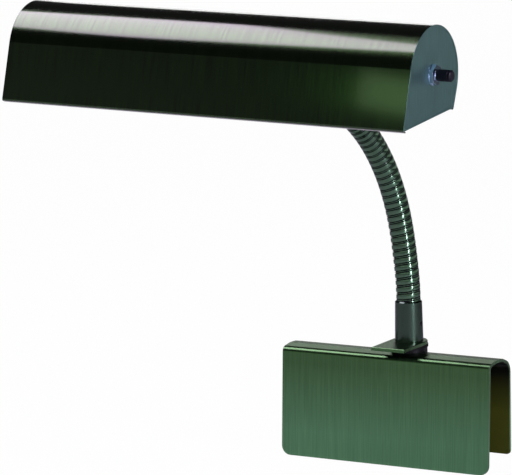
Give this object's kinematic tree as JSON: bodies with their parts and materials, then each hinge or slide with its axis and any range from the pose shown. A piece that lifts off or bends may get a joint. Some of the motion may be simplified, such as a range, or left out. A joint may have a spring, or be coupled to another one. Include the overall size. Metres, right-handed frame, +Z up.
{
  "type": "piano lamp",
  "caption": "Clamp-over piano lamp: a bent sheet saddle, swivelling turret, bending gooseneck and long open-bottomed shade with a tubular lamp and a rotary switch on its end.",
  "frame": {"origin": "on the inside of the saddle's crown, at the middle of its length, where the edge of the music desk bears", "axes": "+X along the saddle towards the switch end of the shade, -Y towards the player, +Z up, square to the desk's upper edge"},
  "size_m": [0.3741, 0.3068, 0.3944],
  "materials": {
    "enamel": "brushed dark green-black enamel, satin",
    "enamel_cap": "dark grey-green enamel, satin",
    "neck_enamel": "dark green lacquer over a wound steel neck, satin",
    "black_steel": "blackened, satin",
    "washer_black": "black fibre, matt",
    "bright_nut": "polished",
    "zinc": "bright zinc plate",
    "knob_black": "black, semi-gloss",
    "switch_case": "black, matt",
    "holder_black": "black moulded, semi-gloss",
    "brass": "plain",
    "lamp_glass": "frosted",
    "rubber": "matt"
  },
  "bodies": {
    "base": {"clamp_saddle": "enamel", "swivel_seat": "black_steel", "swivel_stud": "zinc", "stud_nut": "zinc"},
    "turret": {"friction_washer": "washer_black", "swivel_plate": "enamel", "neck_collar": "neck_enamel", "collar_set_screw": "zinc", "neck_foot": "zinc"},
    "link_01": {"neck_link_01": "neck_enamel"},
    "link_02": {"neck_link_02": "neck_enamel"},
    "link_03": {"neck_link_03": "neck_enamel"},
    "link_04": {"neck_link_04": "neck_enamel"},
    "link_05": {"neck_link_05": "neck_enamel"},
    "link_06": {"neck_link_06": "neck_enamel"},
    "link_07": {"neck_link_07": "neck_enamel"},
    "link_08": {"neck_link_08": "neck_enamel"},
    "link_09": {"neck_link_09": "neck_enamel"},
    "link_10": {"neck_link_10": "neck_enamel"},
    "link_11": {"neck_link_11": "neck_enamel"},
    "link_12": {"neck_link_12": "neck_enamel"},
    "link_13": {"neck_link_13": "neck_enamel"},
    "head": {"centre_contact": "brass", "cord_grommet": "rubber", "end_cap_left": "enamel_cap", "end_cap_right": "enamel_cap", "head_nut": "zinc", "head_stud": "zinc", "lamp_bulb": "lamp_glass", "lamp_cap": "zinc", "lamp_holder": "holder_black", "neck_sleeve": "neck_enamel", "screw_shell": "brass", "shade_shell": "enamel", "socket_bracket": "zinc", "switch_body": "switch_case", "switch_bushing": "zinc", "switch_nut": "bright_nut", "switch_washer": "bright_nut"},
    "knob": {"switch_shaft": "zinc", "switch_knob": "knob_black"}
  },
  "joints": [
    {"name": "turret_swivel", "type": "hinge", "parent": "base", "child": "turret", "pos_m": [0.0114, 0.0034, 0.0112], "axis": [0, -0.0436, 0.999], "range_deg": [-90, 90]},
    {"name": "neck_bend_01", "type": "hinge", "parent": "turret", "child": "link_01", "pos_m": [0.0114, 0.00187, 0.04622], "axis": [0.9943, -0.1061, -0.0046], "range_deg": [-10, 10]},
    {"name": "neck_sway_01", "type": "hinge", "parent": "link_01", "child": "link_02", "pos_m": [0.01005, 0.00113, 0.07035], "axis": [0.1069, 0.9938, 0.0294], "range_deg": [-10, 10]},
    {"name": "neck_bend_02", "type": "hinge", "parent": "link_02", "child": "link_03", "pos_m": [0.00721, 0.00024, 0.09437], "axis": [0.987, -0.1099, 0.1172], "range_deg": [-10, 10]},
    {"name": "neck_sway_02", "type": "hinge", "parent": "link_03", "child": "link_04", "pos_m": [0.00402, -0.00244, 0.1182], "axis": [0.0877, 0.9802, 0.1775], "range_deg": [-10, 10]},
    {"name": "neck_bend_03", "type": "hinge", "parent": "link_04", "child": "link_05", "pos_m": [0.00046, -0.00836, 0.14136], "axis": [0.9861, -0.1109, 0.124], "range_deg": [-10, 10]},
    {"name": "neck_sway_03", "type": "hinge", "parent": "link_05", "child": "link_06", "pos_m": [-0.00334, -0.01825, 0.16308], "axis": [0.0343, 0.864, 0.5023], "range_deg": [-10, 10]},
    {"name": "neck_bend_04", "type": "hinge", "parent": "link_06", "child": "link_07", "pos_m": [-0.00717, -0.03213, 0.18248], "axis": [0.9877, -0.1054, 0.1153], "range_deg": [-10, 10]},
    {"name": "neck_sway_04", "type": "hinge", "parent": "link_07", "child": "link_08", "pos_m": [-0.01081, -0.0496, 0.19876], "axis": [-0.0266, 0.6085, 0.7931], "range_deg": [-10, 10]},
    {"name": "neck_bend_05", "type": "hinge", "parent": "link_08", "child": "link_09", "pos_m": [-0.01404, -0.0699, 0.21147], "axis": [0.9912, -0.0862, 0.1009], "range_deg": [-10, 10]},
    {"name": "neck_sway_05", "type": "hinge", "parent": "link_09", "child": "link_10", "pos_m": [-0.01669, -0.0921, 0.22068], "axis": [-0.0672, 0.3185, 0.9455], "range_deg": [-10, 10]},
    {"name": "neck_bend_06", "type": "hinge", "parent": "link_10", "child": "link_11", "pos_m": [-0.01868, -0.11534, 0.22707], "axis": [0.9948, -0.05, 0.0887], "range_deg": [-10, 10]},
    {"name": "neck_sway_06", "type": "hinge", "parent": "link_11", "child": "link_12", "pos_m": [-0.02, -0.13903, 0.23186], "axis": [-0.0778, 0.182, 0.9802], "range_deg": [-10, 10]},
    {"name": "neck_bend_07", "type": "hinge", "parent": "link_12", "child": "link_13", "pos_m": [-0.02066, -0.16275, 0.23658], "axis": [0.9969, 0.003, 0.0781], "range_deg": [-10, 10]},
    {"name": "neck_sway_07", "type": "hinge", "parent": "link_13", "child": "head", "pos_m": [-0.02068, -0.18611, 0.24285], "axis": [-0.0769, 0.3055, 0.9491], "range_deg": [-10, 10]},
    {"name": "knob_turn", "type": "hinge", "parent": "head", "child": "knob", "pos_m": [0.16776, -0.23858, 0.25675], "axis": [0.9997, 0.005, -0.0234], "continuous": true}
  ],
  "couplings": [
    {"joint": "neck_bend_02", "follows": "neck_bend_01", "ratio": 1},
    {"joint": "neck_bend_03", "follows": "neck_bend_01", "ratio": 1},
    {"joint": "neck_bend_04", "follows": "neck_bend_01", "ratio": 1},
    {"joint": "neck_bend_05", "follows": "neck_bend_01", "ratio": 1},
    {"joint": "neck_bend_06", "follows": "neck_bend_01", "ratio": 1},
    {"joint": "neck_bend_07", "follows": "neck_bend_01", "ratio": 1},
    {"joint": "neck_sway_02", "follows": "neck_sway_01", "ratio": 1},
    {"joint": "neck_sway_03", "follows": "neck_sway_01", "ratio": 1},
    {"joint": "neck_sway_04", "follows": "neck_sway_01", "ratio": 1},
    {"joint": "neck_sway_05", "follows": "neck_sway_01", "ratio": 1},
    {"joint": "neck_sway_06", "follows": "neck_sway_01", "ratio": 1},
    {"joint": "neck_sway_07", "follows": "neck_sway_01", "ratio": 1}
  ]
}
